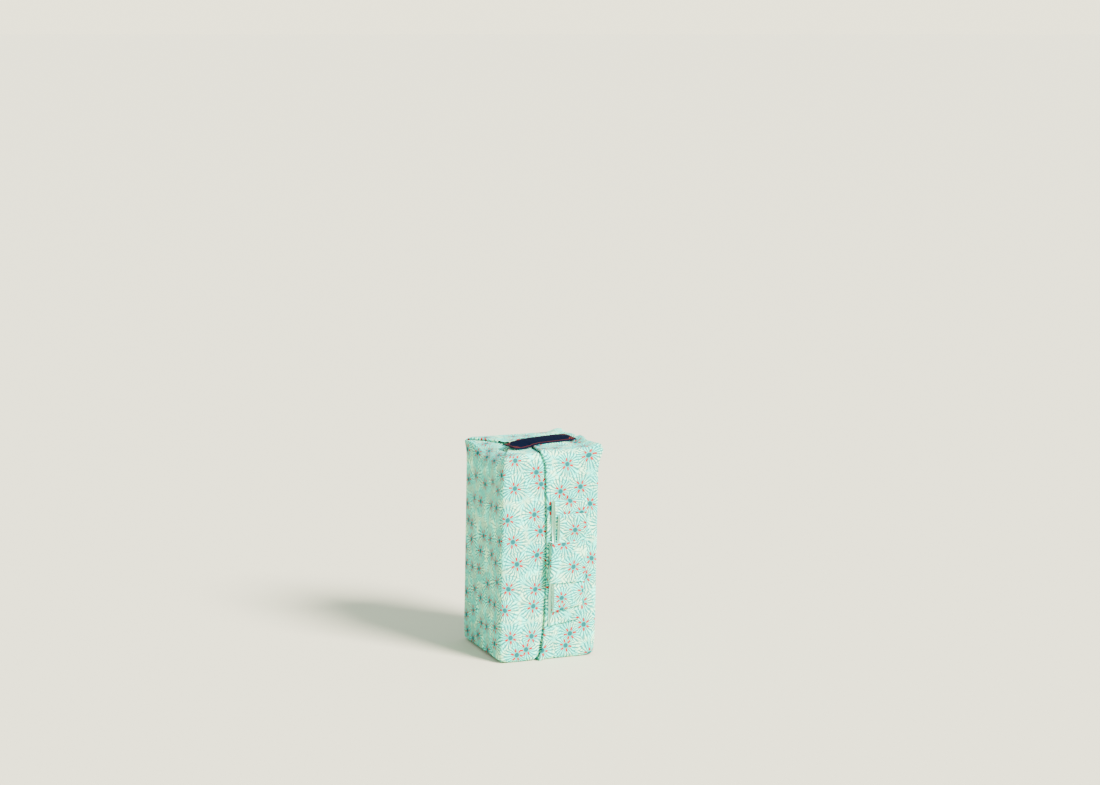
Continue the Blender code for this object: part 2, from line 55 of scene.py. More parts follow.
# The overlap on the front, as in the solids
INNER_END = 0.014  # where the left panel ends, under the right one
HEM = 0.013
PROUD = 1.2  # layers by which the right panel stands out
PROUD_REACH = 0.025  # height over which it comes to stand out, as the base is flush
HEM_SHIFT, LEFT_SHIFT = 1.15, 1.1  # the same for the hem and for the left panel that runs under it
UNDER = {"start": -0.006, "length": 0.005}  # where the left panel goes under, from the free edge

# Flaps at both ends, as in the solids, measured from the edge that they fold over
SIDE_FLAP = 0.030
FRONT_FLAP = {"top": 0.0495, "bottom": 0.056}
BACK_FLAP = {"top": 0.063, "bottom": 0.0485}
# On top the front flaps step up over the back flap's end, which dips under the overlap
RISE = {"start": 0.032, "length": 0.008, "layers": 1.2}
DIP = {"left": -0.017, "right": 0.018, "side": 0.0045, "start": 0.044, "length": 0.006, "layers": 1.25}

# The right panel's free edge, up to 1.5 mm further right than the solids': height, x, how far it lifts off
LIFT_REACH = 0.008
EDGE_BELOW = 0.05  # slope of that edge on the base
EDGE_X = -0.0019  # its x halfway up, for the columns' spacing
EDGE_UP_FRONT = (
    (0.000, -0.0084, 0.0030), (0.012, -0.0053, 0.0026), (0.030, -0.0034, 0.0010),
    (0.046, -0.0027, 0.0014), (0.070, -0.0019, 0.0002), (0.088, -0.0019, 0.0002),
    (0.106, -0.0022, 0.0002), (0.117, -0.0024, 0.0002), (0.127, -0.0026, 0.0018),
    (0.165, -0.0035, 0.0006), (0.188, -0.0049, 0.0008), (0.201, -0.0085, 0.0010),
)
# The same edge along the top, by its distance from the front
EDGE_ON_TOP = (
    (0.000, -0.0085, 0.0010), (0.012, -0.0077, 0.0006), (0.030, -0.0045, 0.0004),
    (0.050, -0.0025, 0.0000),
)
# Fold lines of the ends: their slope inward along the panel, and their bend. The first is a little
# steeper than the solids'.
FOLDS = {
    "front_left": (0.52, 0.0), "back_left": (1.0, 9.2), "back_right": (1.0, 0.0), "front_right": (1.0, 0.0),
}

# The parcel's edges: their radius, and how near they come to a true round
ROUND, ROUND_SHARE = 0.0050, 0.90
SOFT_EDGE = 0.0140  # how much rounder the left edge of the top is
# Bounds of that softer edge: where each is, and the length over which the softness comes
SOFT_RIGHT, SOFT_LOW, SOFT_BACK, SOFT_FRONT = (-0.022, 0.020), (0.150, 0.030), (0.045, 0.040), (-0.052, 0.024)
# Small moves of the top: where, in shares of the half sizes, how far, and the reach of each
MOVES = (
    ((-1.0, 1.0), (-0.0030, 0.0010, 0.0006), (0.010, 0.010, 0.010)),
    ((1.0, -1.0), (0.0056, -0.0010, 0.0013), (0.010, 0.010, 0.010)),
    ((1.0, 1.0), (0.0020, 0.0018, 0.0037), (0.009, 0.010, 0.014)),
    ((1.0, -0.05), (0.0006, 0.0000, 0.0048), (0.0075, 0.060, 0.014)),
    ((-1.0, -0.2), (0.0018, 0.0000, -0.0012), (0.011, 0.036, 0.011)),
    ((0.2, -1.0), (0.0000, 0.0010, -0.0009), (0.040, 0.011, 0.011)),
    ((-0.8, -0.6), (0.0000, 0.0000, -0.0019), (0.026, 0.028, 0.030)),
    ((-0.64, -0.06), (0.0000, 0.0000, -0.0020), (0.008, 0.014, 0.020)),
    ((-0.30, -0.45), (0.0000, 0.0000, -0.0013), (0.014, 0.012, 0.020)),
    ((0.40, -0.40), (0.0000, 0.0000, -0.0014), (0.030, 0.012, 0.020)),
    ((0.43, 0.17), (0.0000, 0.0000, 0.0042), (0.020, 0.0080, 0.020)),
    ((-0.12, 0.10), (0.0000, 0.0000, 0.0034), (0.018, 0.0080, 0.020)),
    ((0.84, -0.20), (0.0000, 0.0000, -0.0034), (0.0078, 0.017, 0.020)),
    ((0.56, -0.28), (0.0000, 0.0000, -0.0012), (0.010, 0.012, 0.020)),
)
SECTIONS = ("front_left", "left", "back", "right", "front_right", "hem")
# Each corner: straight panel, folded panel, which comes first, and which flap is the lower one
CORNERS = {
    "front_left": ("left", "front_left", "folded", 1),
    "back_left": ("left", "back", "straight", 1),
    "back_right": ("back", "right", "straight", -1),
    "front_right": ("front_right", "right", "folded", -1),
}
# Beside a corner, the stretch of a flap that its fold line pushes inward
SQUEEZED = {"front_left": 0.0294, "back": 0.0304, "right": 0.045, "left": 0.016}

# Finer than the solids: the cloth's own thickness and the spacing of its points
THIN = 0.0005
NEAR_CORNER = (0.0006, 0.0014, 0.0024, 0.0036, 0.0050, 0.0066)
SPACING = {
    "side": 0.0028, "front": 0.0017, "hem": 0.0013, "wall": 0.0026, "flap": 0.0022, "loop": 0.0018,
    "band": 0.0020,
}
# Places of the points across a layer folded in at a corner, and round a fold
GUSSET_SHARES = (0.0, 0.05, 0.13, 0.24, 0.38, 0.54, 0.70, 0.84, 0.94, 1.0)
FOLD_TURNS = (0.2, 0.4, 0.6, 0.8)
FOLD_CLOTH = 0.0020  # cloth that a fold's round takes up

LABEL = {"length": 0.070, "width": 0.023, "x": 0.0050, "y": -0.0080, "turn": math.radians(11)}
LABEL_THICK, LABEL_ARCH = 0.0008, 0.0006
LABEL_RIM, LABEL_RIM_SHARE = 0.0012, 0.55  # its edges are pressed down, to this share of half its thickness
LABEL_STEPS = (70, 24)
# Heights of the label's front and back edge along it: it climbs over the folds under it
LABEL_EDGES = (
    (-0.035, 0.2012, 0.2008), (-0.031, 0.2006, 0.2014), (-0.027, 0.2002, 0.2026), (-0.024, 0.2002, 0.2034),
    (-0.018, 0.2008, 0.2042), (-0.012, 0.2024, 0.2047), (-0.006, 0.2030, 0.2051), (0.008, 0.2030, 0.2054),
    (0.024, 0.2033, 0.2057), (0.035, 0.2035, 0.2053),
)

# The bow's strips: the solids' thickness and the one here, and the plane that they lie on
STRIP, THIN_STRIP = 0.0010, 0.0007
FACE = -(HALF_Y + PROUD * PITCH + CLOTH / 2)
# Below the band a loop's right side is higher than its left, by this much past the reach
SLANT_REACH, LONG_SLANT, SHORT_SLANT = 0.030, 0.0047, 0.0050
# Loops: height, depth of the back and the front strip, left side of each, and the right side
LONG_LOOP = (
    (0.0350, 0.0022, 0.0036, -0.0014, -0.0006, 0.0296), (0.0450, 0.0020, 0.0047, -0.0018, -0.0004, 0.0298),
    (0.0600, 0.0020, 0.0047, -0.0018, -0.0001, 0.0302), (0.0760, 0.0025, 0.0043, -0.0012, 0.0004, 0.0306),
    (0.1160, 0.0025, 0.0043, 0.0004, 0.0028, 0.0324), (0.1280, 0.0019, 0.0058, 0.0003, 0.0022, 0.0327),
    (0.1420, 0.0016, 0.0076, 0.0001, 0.0015, 0.0330), (0.1530, 0.0020, 0.0070, -0.0001, 0.0011, 0.0331),
)
SHORT_LOOP = (
    (0.0495, 0.0068, 0.0084, 0.0003, 0.0009, 0.0303), (0.0620, 0.0064, 0.0100, 0.0002, 0.0010, 0.0305),
    (0.0760, 0.0059, 0.0077, 0.0004, 0.0013, 0.0308), (0.1160, 0.0059, 0.0077, 0.0046, 0.0058, 0.0326),
    (0.1280, 0.0075, 0.0108, 0.0041, 0.0051, 0.0322), (0.1410, 0.0094, 0.0118, 0.0036, 0.0044, 0.0316),
)
BAND = {
    "left": -0.0030, "right": 0.0332, "low": 0.0765, "high": 0.1155, "back": 0.0011, "front": 0.0092,
    "tilt": 0.045,
}
BAND_ROUND = 0.0013
# Steps across a loop and across the band, and round a loop's end and a corner of the band
LOOP_STEPS, BAND_STEPS, END_STEPS, ROUND_STEPS = 18, 24, 9, 6
# Where on the flat cloth's print each strip begins
CUT_FROM = {"long": (0.02, 0.33), "short": (0.06, 0.34), "band": (0.10, 0.31)}

# Unevenness of the faces: the height of each noise and its waves per metre, and what the top has of it
LUMPS, TOP_LUMPS = ((0.0009, 28), (0.0004, 75)), 0.3
BACK_BULGE, RIGHT_BULGE = 0.0006, 0.0004
# A face's unevenness reaches this deep, and fades this near to its edges
FACE_REACH, EDGE_FADE = 0.010, 0.014
# Soft creases, each on a face from one point to another: half its width, and its height, a
# trough where that is below 0. The front's points are x and z, the left's y and z, the top's x and y.
CREASES = {
    "front": (
        ((-0.018, 0.196), (-0.0155, 0.120), 0.0040, -0.0006),
        ((-0.030, 0.150), (-0.026, 0.040), 0.0070, 0.0007),
        ((0.006, 0.190), (0.010, 0.150), 0.0045, -0.0005),
        ((0.030, 0.196), (0.022, 0.162), 0.0050, -0.0005),
        ((0.038, 0.060), (0.041, 0.020), 0.0040, 0.0005),
        ((0.004, 0.030), (0.012, 0.006), 0.0040, 0.0006),
    ),
    "left": (
        ((-0.020, 0.192), (-0.012, 0.100), 0.0080, -0.0008),
        ((0.020, 0.185), (0.016, 0.060), 0.0100, 0.0008),
        ((0.040, 0.194), (0.030, 0.160), 0.0050, -0.0007),
        ((-0.040, 0.050), (-0.034, 0.008), 0.0060, 0.0006),
    ),
    "top": (
        ((-0.040, 0.020), (-0.012, 0.008), 0.0040, -0.0005),
        ((0.020, 0.044), (0.040, 0.010), 0.0050, 0.0006),
        ((0.010, -0.046), (0.034, -0.030), 0.0045, 0.0005),
    ),
}


def smooth(value):
    """A soft step from 0 to 1, as the value goes from 0 to 1."""
    value = min(max(value, 0.0), 1.0)
    return value * value * (3 - 2 * value)


def between(table, at, column):
    """A table's column at a place between its rows."""
    if at <= table[0][0]:
        return table[0][column]
    for low, high in zip(table, table[1:]):
        if at <= high[0]:
            share = smooth((at - low[0]) / (high[0] - low[0]))
            return low[column] + (high[column] - low[column]) * share
    return table[-1][column]


def crease_height(face, a, b):
    """How far a face's creases stand out at a place on it."""
    height = 0.0
    for (a0, b0), (a1, b1), width, high in CREASES.get(face, ()):
        run_a, run_b = a1 - a0, b1 - b0
        along = ((a - a0) * run_a + (b - b0) * run_b) / (run_a**2 + run_b**2)
        across = abs((a - a0) * run_b - (b - b0) * run_a) / math.hypot(run_a, run_b)
        ends = smooth(along * 4 + 0.5) * smooth((1 - along) * 4 + 0.5)
        height += high * ends * math.exp(-((across / width) ** 2))
    return height


def pressed(point):
    """Moves a point of the folded form out or in by the soft unevenness of the face it is near."""
    x, y, z = point
    moved = Vector(point)
    front, back = smooth(1 - (y + DEPTH / 2) / FACE_REACH), smooth(1 - (DEPTH / 2 - y) / FACE_REACH)
    left, right = smooth(1 - (x + WIDTH / 2) / FACE_REACH), smooth(1 - (WIDTH / 2 - x) / FACE_REACH)
    top = smooth(1 - (TOP_LEVEL - z) / FACE_REACH)
    upright = smooth((TOP_LEVEL - z) / EDGE_FADE) * smooth(z / EDGE_FADE)
    wide, deep = smooth((WIDTH / 2 - abs(x)) / EDGE_FADE), smooth((DEPTH / 2 - abs(y)) / EDGE_FADE)
    lumps = sum(high * noise.noise(Vector((x, y, z)) * waves) for high, waves in LUMPS)
    moved.y -= front * upright * wide * (crease_height("front", x, z) + lumps)
    moved.y += back * upright * wide * (lumps + BACK_BULGE)
    moved.x -= left * upright * deep * (crease_height("left", y, z) + lumps)
    moved.x += right * upright * deep * (lumps + RIGHT_BULGE)
    moved.z += top * wide * deep * (crease_height("top", x, y) + TOP_LUMPS * lumps)
    return moved


def shaped(point):
    """Round edges, soft creases, lifted or sunken places on top and a slight lean."""
    x, y, z = point
    middle = (TOP_LEVEL + CLOTH / 2) / 2
    centred = [x, y, z - middle]
    soft = smooth((SOFT_RIGHT[0] - x) / SOFT_RIGHT[1]) * smooth((z - SOFT_LOW[0]) / SOFT_LOW[1])
    soft *= smooth((SOFT_BACK[0] - y) / SOFT_BACK[1]) * smooth((y - SOFT_FRONT[0]) / SOFT_FRONT[1])
    halves = [WIDTH / 2, DEPTH / 2, middle - soft * SIDE_LAYERS * PITCH]
    radius = ROUND + SOFT_EDGE * soft
    near = [max(0.0, 1 - (half - abs(c)) / radius) for c, half in zip(centred, halves)]
    length = math.sqrt(sum(n * n for n in near))
    if length > 0:
        shrink = 1 + (ROUND_SHARE + (1 - ROUND_SHARE) * soft) * (max(near) / length - 1)
        for axis, (c, half) in enumerate(zip(centred, halves)):
            if near[axis] > 0:
                centred[axis] = math.copysign(half - radius * (1 - near[axis] * shrink), c)
    x, y, z = pressed((centred[0], centred[1], centred[2] + middle))
    moved = Vector((x, y, z))
    for (side, end), out, reach in MOVES:
        away = (x - side * WIDTH / 2, y - end * DEPTH / 2, z - TOP_LEVEL)
        moved += Vector(out) * math.exp(-sum((d / r) ** 2 for d, r in zip(away, reach)))
    return moved + Vector((moved.z * math.tan(LEAN), 0, 0))


class Sheet:
    """A sheet as a grid of nodes, each with its place on both faces and on the flat cloth."""

    def __init__(self):
        self.index, self.outer, self.inner, self.flat, self.faces = {}, [], [], [], []

    def add(self, key, outer, inner, flat):
        self.index[key] = len(self.outer)
        self.outer.append(outer)
        self.inner.append(inner)
        self.flat.append(flat)

    def node(self, key, place, thick, thin, flat):
        """The outer face is where the solid's is, and the cloth is as thin as said."""
        self.add(key, shaped(place(thick / 2)), shaped(place(thick / 2 - thin)), flat)

    def face(self, keys):
        """A face between nodes. It is left out where one is missing, and is a triangle where two are one."""
        keys = [key for key in keys if key is not None]
        if any(key not in self.index for key in keys):
            return
        corners = list(dict.fromkeys(self.index[key] for key in keys))
        if len(corners) > 2:
            self.faces.append(corners)

    def round_fold(self, before, first, last, bends):
        """Nodes half round a fold between two nodes, bulging away from the one before them."""
        if any(key not in self.index for key in (before, first, last)):
            return
        i, j, k = (self.index[key] for key in (before, first, last))
        for key, turn in bends:
            faces = []
            for side in (self.outer, self.inner):
                away = (side[j] - side[i]).normalized()
                half = (side[j] - side[k]) / 2
                away -= half * (away.dot(half) / max(half.length_squared, 1e-12))
                spot = (side[j] + side[k]) / 2 + half * math.cos(math.pi * turn)
                faces.append(spot + away * half.length * math.sin(math.pi * turn))
            flat = [a + (b - a) * turn for a, b in zip(self.flat[j], self.flat[k])]
            self.add(key, *faces, flat)

    def piece(self, name):
        """Both faces, joined along each open edge, as an object with its flat layout as UVs.

        Its materials are, in order, the first side's, the edges' and the second side's.
        """
        count = len(self.outer)
        faces = self.faces + [[i + count for i in reversed(face)] for face in self.faces]
        edges = {edge for face in self.faces for edge in zip(face, face[1:] + face[:1])}
        faces += [[b, a, a + count, b + count] for a, b in sorted(edges) if (b, a) not in edges]
        mesh = bpy.data.meshes.new(name)
        mesh.from_pydata(self.outer + self.inner, [], faces)
        layer = mesh.uv_layers.new(name="cloth")
        for loop, spot in zip(mesh.loops, layer.data):
            spot.uv = self.flat[loop.vertex_index % count]
        one_side = len(self.faces)
        sides = [0] * one_side + [2] * one_side + [1] * (len(faces) - 2 * one_side)
        mesh.polygons.foreach_set("material_index", sides)
        mesh.validate()
        mesh.polygons.foreach_set("use_smooth", [True] * len(mesh.polygons))
        mesh.set_sharp_from_angle(angle=math.radians(55))
        made = bpy.data.objects.new(name, mesh)
        bpy.context.scene.collection.objects.link(made)
        return made


def fade(distance):
    """0 at a folded corner, and 1 from the taper's length on."""
    return min(1.0, distance / TAPER)


def edge_row(end, height):
    """x and lift of the right panel's free edge."""
    if end == "bottom":
        return EDGE_UP_FRONT[0][1] + EDGE_BELOW * height, 0.0
    table = EDGE_UP_FRONT if end == "wall" else EDGE_ON_TOP
    return between(table, height, 1), between(table, height, 2)


def layers_over(section, x, end, height):
    """How many layers lie outside this section of the cloth; below 0 it stands proud."""
    if section in ("left", "right"):
        return SIDE_LAYERS if end != "wall" else 0.0
    if section == "back":
        if end != "top":
            return 0.0
        under = smooth((x - DIP["left"]) / DIP["side"]) * smooth((DIP["right"] - x) / DIP["side"])
        return DIP["layers"] * smooth((height - DIP["start"]) / DIP["length"]) * under
    proud = {"top": 1.0, "bottom": 0.0, "wall": smooth(height / PROUD_REACH)}[end]
    rise = 0.0
    if end == "top":
        rise = RISE["layers"] * smooth((height - RISE["start"]) / RISE["length"])
    if section == "front_right":
        return -PROUD * proud - rise
    if section == "hem":
        return 1 - HEM_SHIFT * proud - rise
    under = smooth((x - edge_row(end, height)[0] - UNDER["start"]) / UNDER["length"])
    return (2 - LEFT_SHIFT * proud) * under - rise


def level_of(end, layers):
    """Height of a layer that has this many layers outside it."""
    return TOP_LEVEL - layers * PITCH if end == "top" else BOTTOM_LEVEL + layers * PITCH


def in_plan(section, along, out):
    """x and y of a place along a section's wall and this far out of it."""
    if section == "left":
        return -HALF_X - out, along
    if section == "right":
        return HALF_X + out, along
    return (along, HALF_Y + out) if section == "back" else (along, -HALF_Y - out)


def evenly(low, high, most):
    """Places from low to high, both left out, no further apart than the most."""
    count = math.ceil((high - low) / most - 1e-9)
    return [low + (high - low) * i / count for i in range(1, count)]


def stations(section):
    """Distances along a section of its columns, from where the section starts."""
    near, last = [0.0, *NEAR_CORNER], NEAR_CORNER[-1]
    if section == "hem":
        return [0.0, *evenly(0.0, HEM, SPACING["hem"]), HEM]
    if section == "front_right":
        length = HALF_X - EDGE_X
        return [*near, *evenly(last, length, SPACING["front"]), length]
    if section == "front_left":
        length = INNER_END + HALF_X
        found = [0.0, *evenly(0.0, length - last, SPACING["front"])]
    else:
        length = 2 * (HALF_X if section == "back" else HALF_Y)
        found = [*near, *evenly(last, length - last, SPACING["side"])]
    return [*found, *(length - s for s in reversed(NEAR_CORNER)), length]


STATIONS = {section: stations(section) for section in SECTIONS}
FLAP_STEPS = [*NEAR_CORNER, *evenly(NEAR_CORNER[-1], SIDE_FLAP, SPACING["flap"]), SIDE_FLAP]
FLAP_ENDS = 11
WALL_SPAN = level_of("top", SIDE_LAYERS) - level_of("bottom", SIDE_LAYERS)
WALL_HEIGHTS = [
    0.0, *NEAR_CORNER, *evenly(NEAR_CORNER[-1], WALL_SPAN - NEAR_CORNER[-1], SPACING["wall"]),
    *(WALL_SPAN - s for s in reversed(NEAR_CORNER)), WALL_SPAN,
]
WALL_END = len(WALL_HEIGHTS) - 1
# Where each section starts on the flat cloth
FLAT_START = {"front_left": 0.0}
for one, following in zip(SECTIONS, SECTIONS[1:]):
    FLAT_START[following] = FLAT_START[one] + STATIONS[one][-1]


def corner_at(section, last):
    """The corner at a section's first or last column, or None at a free edge."""
    for name, (straight, folded, first, _) in CORNERS.items():
        for role, panel in (("straight", straight), ("folded", folded)):
            if panel == section and (first == role) == last:
                return name, role
    return None, None


ENDS = {section: (corner_at(section, False), corner_at(section, True)) for section in SECTIONS}


def fold_inset(corner, role, height):
    """How far a flap's side lies inward of the corner at this height, and that line's slope."""
    if role == "folded":
        slope, bend = FOLDS[corner]
        return slope * height - bend * height**2, slope - 2 * bend * height
    if CORNERS[corner][3] > 0:
        return PITCH * fade(height), 0.0
    return 0.0, 0.0


def start_and_length(section, end, height):
    """Where a section's row starts, the way that it runs, and its length."""
    if section == "left":
        return -HALF_Y, 1, 2 * HALF_Y
    if section == "right":
        return HALF_Y, -1, 2 * HALF_Y
    if section == "back":
        return -HALF_X, 1, 2 * HALF_X
    if section == "front_left":
        return INNER_END, -1, INNER_END + HALF_X
    edge = edge_row(end, height)[0]
    return (HALF_X, -1, HALF_X - edge) if section == "front_right" else (edge, 1, HEM)


def flap_height(section, end, step):
    """Height of a flap's row past the bend, or None past the flap's end."""
    if step <= len(FLAP_STEPS):
        return FLAP_STEPS[step - 1]
    if section in ("left", "right"):
        return None
    full = (BACK_FLAP if section == "back" else FRONT_FLAP)[end]
    return SIDE_FLAP + (full - SIDE_FLAP) * (step - len(FLAP_STEPS)) / FLAP_ENDS


def flat_height(end, height):
    """The same height on the flat cloth, from the lower edge of the wall."""
    return {"wall": height, "top": WALL_SPAN + height, "bottom": -height}[end]


def column_node(section, column, row):
    """A section's node: its place as a function of the distance outward, and its flat place."""
    end, step = row
    spots = STATIONS[section]
    if end == "wall":
        height = WALL_HEIGHTS[step] / WALL_SPAN * TOP_LEVEL
    else:
        height = flap_height(section, end, step)
    if height is None:
        return None
    turned = -1 if section == "hem" else 1
    corners = ENDS[section]
    start, direction, length = start_and_length(section, end, height)
    margins, slopes = [0.0, 0.0], [0.0, 0.0]
    for last, (corner, role) in enumerate(corners):
        if end != "wall" and corner:
            margins[last], slopes[last] = fold_inset(corner, role, height)
    along = spots[column] * length / spots[-1]
    moved = SQUEEZED.get(section, length)
    along += margins[0] * max(0.0, 1 - along / moved)
    along -= margins[1] * max(0.0, 1 - (length - along) / moved)
    centre = start + direction * along
    near = min(along if corners[0][0] else length, length - along if corners[1][0] else length)
    x = centre if section not in ("left", "right") else 0.0
    edge, lift = edge_row(end, height)
    off_edge = (x - edge) / LIFT_REACH
    lift *= 1 - smooth(off_edge) if section in ("front_right", "hem") else 0.0
    at_edge = (section == "front_right" and column == len(spots) - 1) or (section == "hem" and column == 0)
    flat_start = FLAT_START[section]
    if section == "hem":
        flat_start = FLAT_START["front_right"] + HALF_X - edge + FOLD_CLOTH
    flat = (flat_start + along, flat_height(end, WALL_HEIGHTS[step] if end == "wall" else height))

    if end == "wall":
        over = {name: layers_over(section, x, name, 0) - SIDE_LAYERS for name in ("bottom", "top")}
        low = level_of("bottom", SIDE_LAYERS + over["bottom"] * fade(near))
        high = level_of("top", SIDE_LAYERS + over["top"] * fade(near))
        z = low + WALL_HEIGHTS[step] / WALL_SPAN * (high - low)
        thin = fade(math.hypot(near, min(z - low, high - z)))
        out = -layers_over(section, x, "wall", z) * PITCH + lift
        bend = -1 if step == 0 else 1 if step == WALL_END else 0

        def place(w):
            w *= thin * turned
            side = centre - w * turned if at_edge else centre
            return (*in_plan(section, side, out + w), z + bend * w)

        return place, flat

    thin = fade(math.hypot(near, height))
    layers = SIDE_LAYERS + (layers_over(section, x, end, height) - SIDE_LAYERS) * thin
    level = level_of(end, layers)
    out = -layers_over(section, x, "wall", TOP_LEVEL if end == "top" else 0.0) * PITCH
    up = 1 if end == "top" else -1

    def place(w):
        w *= thin * turned
        side, inward = 0.0, 0.0
        for last, (corner, role) in enumerate(corners):
            if corner is None or column != (len(spots) - 1 if last else 0):
                continue
            order = CORNERS[corner][3]
            shift = order * w
            if role == "folded":
                shift = -order * w / math.hypot(1, slopes[last])
                inward = order * w * slopes[last] / math.hypot(1, slopes[last])
            side = -shift if last else shift
        spot = centre - w * turned if at_edge else centre + direction * side
        return (*in_plan(section, spot, out - height - inward), level + up * (w + lift))

    return place, flat


def gusset_node(corner, share, row):
    """A node of the layer folded in between two flaps, as column_node gives one."""
    end, step = row
    if step > len(FLAP_STEPS):
        return None
    height = FLAP_STEPS[step - 1]
    straight_panel, folded_panel, first, order = CORNERS[corner]
    edge, _ = fold_inset(corner, "straight", height)
    fold, slope = fold_inset(corner, "folded", height)
    proud = PROUD * PITCH if corner == "front_right" and end == "top" else 0.0
    thin = fade(math.hypot(fold * share, height))
    x = HALF_X if "right" in corner else -HALF_X
    straight = layers_over(straight_panel, x, end, height)
    folded = layers_over(folded_panel, x, end, height)
    level = level_of(end, SIDE_LAYERS + ((straight + folded) / 2 - SIDE_LAYERS) * thin)
    up = 1 if end == "top" else -1
    line = FLAT_START[folded_panel] + (STATIONS[folded_panel][-1] if first == "folded" else 0.0)
    across = share * max(fold - FOLD_CLOTH, 0.3 * fold) * (-1 if first == "folded" else 1)

    def place(w):
        w *= thin
        from_straight = (1 - share) * (height - proud) + share * fold
        from_folded = (1 - share) * edge + share * height
        if share == 0:
            from_folded += order * w
        if share == 1:
            from_straight -= order * w / math.hypot(1, slope)
            from_folded += order * w * slope / math.hypot(1, slope)
        z = level - up * w
        if straight_panel == "left":
            y = HALF_Y - from_folded if corner == "back_left" else from_folded - HALF_Y
            return from_straight - HALF_X, y, z
        y = HALF_Y - from_straight if corner == "back_right" else from_straight - HALF_Y
        return HALF_X - from_folded, y, z

    return place, (line + across, flat_height(end, height))


def corner_node(corner, row):
    """A node on the parcel's upright edge."""
    low = level_of("bottom", SIDE_LAYERS)
    z = low + WALL_HEIGHTS[row[1]]
    thin = fade(min(z - low, low + WALL_SPAN - z))
    section = "front_right" if corner == "front_right" else "back"
    proud = -layers_over(section, HALF_X, "wall", z) * PITCH
    side = 1 if "right" in corner else -1
    front = 1 if "back" in corner else -1
    start = {"front_left": "left", "back_left": "back", "back_right": "right", "front_right": "front_right"}

    def place(w):
        w *= thin
        return side * (HALF_X + w), front * (HALF_Y + proud + w), z

    return place, (FLAT_START[start[corner]], WALL_HEIGHTS[row[1]])


def columns():
    """The cloth's columns in order: the sections' own, the folded-in ones, and the folds' rounds."""
    found = []
    for section in SECTIONS:
        found += [(section, i) for i in range(len(STATIONS[section]))]
        corner = ENDS[section][1][0]
        if corner:
            inner = [("gusset " + corner, share) for share in GUSSET_SHARES]
            inner = [("bend straight " + corner, t) for t in FOLD_TURNS] + inner
            inner += [("bend folded " + corner, 1 - t) for t in FOLD_TURNS]
            found += inner if CORNERS[corner][2] == "straight" else inner[::-1]
        if section == "front_right":
            found += [("bend hem", t) for t in FOLD_TURNS]
    return found


def node_key(column, row):
    """A node's key. On a wall a corner's columns are one node, and at its bends there is none."""
    name, place = column
    corner = None
    if " " in name and name != "bend hem":
        corner = name.split()[-1]
    elif place == 0 and name in ENDS:
        corner = ENDS[name][0][0]
    elif name in ENDS and place == len(STATIONS[name]) - 1:
        corner = ENDS[name][1][0]
    if row[0] != "wall" or corner is None:
        return column, row
    return None if row[1] in (0, WALL_END) else (corner, row)


def folded_cloth():
    """The whole cloth as one sheet: its columns crossed with its rows, with the folds' rounds between."""
    sheet = Sheet()
    flap = len(FLAP_STEPS) + FLAP_ENDS
    rows = [("bottom", k) for k in range(flap, 0, -1)]
    rows += [("wall", i) for i in range(WALL_END + 1)] + [("top", k) for k in range(1, flap + 1)]
    order = columns()
    for column in order:
        name, spot = column
        for row in rows:
            key = node_key(column, row)
            if key is None or key in sheet.index or (name.startswith("bend") and key[0] not in CORNERS):
                continue
            if key[0] in CORNERS:
                made = corner_node(key[0], row)
            elif name.startswith("gusset"):
                made = gusset_node(name.split()[1], spot, row)
            else:
                made = column_node(name, spot, row)
            if made:
                sheet.node(key, made[0], CLOTH, THIN, made[1])
    for row in rows:
        last = len(STATIONS["front_right"]) - 1
        sheet.round_fold(
            (("front_right", last - 1), row), (("front_right", last), row), (("hem", 0), row),
            [((("bend hem", t), row), t) for t in FOLD_TURNS])
        if row[0] == "wall":
            continue
        for corner, (straight, folded, first, _) in CORNERS.items():
            final = len(STATIONS[straight]) - 1
            ends = (final - 1, final) if first == "straight" else (1, 0)
            sheet.round_fold(
                ((straight, ends[0]), row), ((straight, ends[1]), row), (("gusset " + corner, 0.0), row),
                [((("bend straight " + corner, t), row), t) for t in FOLD_TURNS])
            column = (folded, 0 if first == "straight" else len(STATIONS[folded]) - 1)
            gusset = "gusset " + corner
            sheet.round_fold(
                ((gusset, GUSSET_SHARES[-2]), row), ((gusset, 1.0), row), (column, row),
                [((("bend folded " + corner, 1 - t), row), t) for t in FOLD_TURNS])
    for column, following in zip(order, order[1:]):
        for row, above in zip(rows, rows[1:]):
            sheet.face([node_key(*spot) for spot in (
                (column, row), (column, above), (following, above), (following, row))])
    return sheet.piece("folded_cloth")


